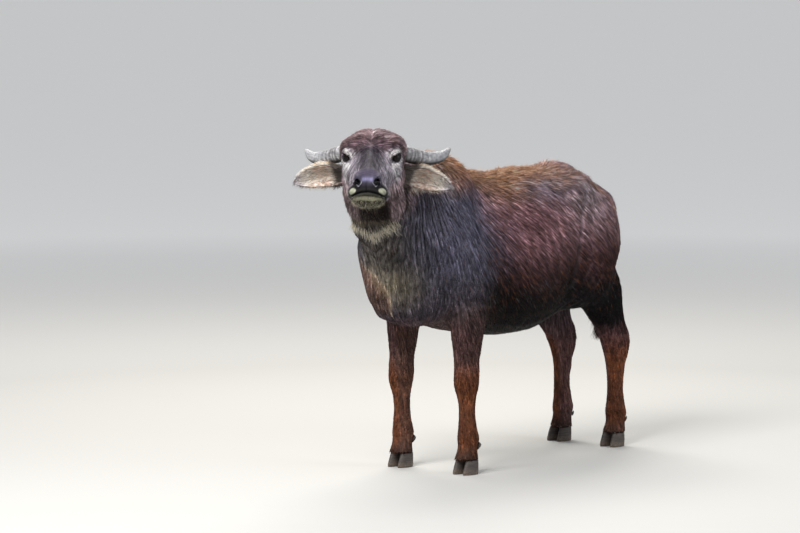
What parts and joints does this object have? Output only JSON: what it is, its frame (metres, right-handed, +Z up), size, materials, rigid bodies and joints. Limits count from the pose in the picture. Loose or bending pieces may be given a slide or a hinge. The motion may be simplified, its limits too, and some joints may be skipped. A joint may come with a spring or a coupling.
{
  "type": "water buffalo",
  "caption": "Young water buffalo standing still, head raised and turned aside, with back-swept horns, cupped ears and cloven feet on level ground.",
  "frame": {"origin": "on the ground, below the middle of the animal's outer box", "axes": "+Z up; the animal faces -Y, so +Y runs from its head to its tail; +X to its own left"},
  "size_m": [0.543, 1.7642, 1.2554],
  "materials": {
    "body_coat": "short reddish-brown hair over dark skin",
    "neck_coat": "sparse dark slate-grey hair",
    "face_skin": "fine short grey-brown hair",
    "leg_coat": "short warm brown hair",
    "ear_skin": "thin skin with long pale hair inside",
    "switch_hair": "long coarse dark hair",
    "horn": "grey ridged horn",
    "hoof": "dark worn horn",
    "eye": "wet and dark"
  },
  "bodies": {
    "root": {"dewclaw_fore_left_inner": "hoof", "dewclaw_fore_left_outer": "hoof", "dewclaw_fore_right_inner": "hoof", "dewclaw_fore_right_outer": "hoof", "dewclaw_hind_left_inner": "hoof", "dewclaw_hind_left_outer": "hoof", "dewclaw_hind_right_inner": "hoof", "dewclaw_hind_right_outer": "hoof", "ear_left": "ear_skin", "ear_right": "ear_skin", "eye_left": "eye", "eye_right": "eye", "foreleg_left": "leg_coat", "foreleg_right": "leg_coat", "head": "face_skin", "hindleg_left": "leg_coat", "hindleg_right": "leg_coat", "hoof_fore_left_inner": "hoof", "hoof_fore_left_outer": "hoof", "hoof_fore_right_inner": "hoof", "hoof_fore_right_outer": "hoof", "hoof_hind_left_inner": "hoof", "hoof_hind_left_outer": "hoof", "hoof_hind_right_inner": "hoof", "hoof_hind_right_outer": "hoof", "horn_left": "horn", "horn_right": "horn", "neck": "neck_coat", "tail": "body_coat", "tail_switch": "switch_hair", "torso": "body_coat"}
  },
  "joints": []
}
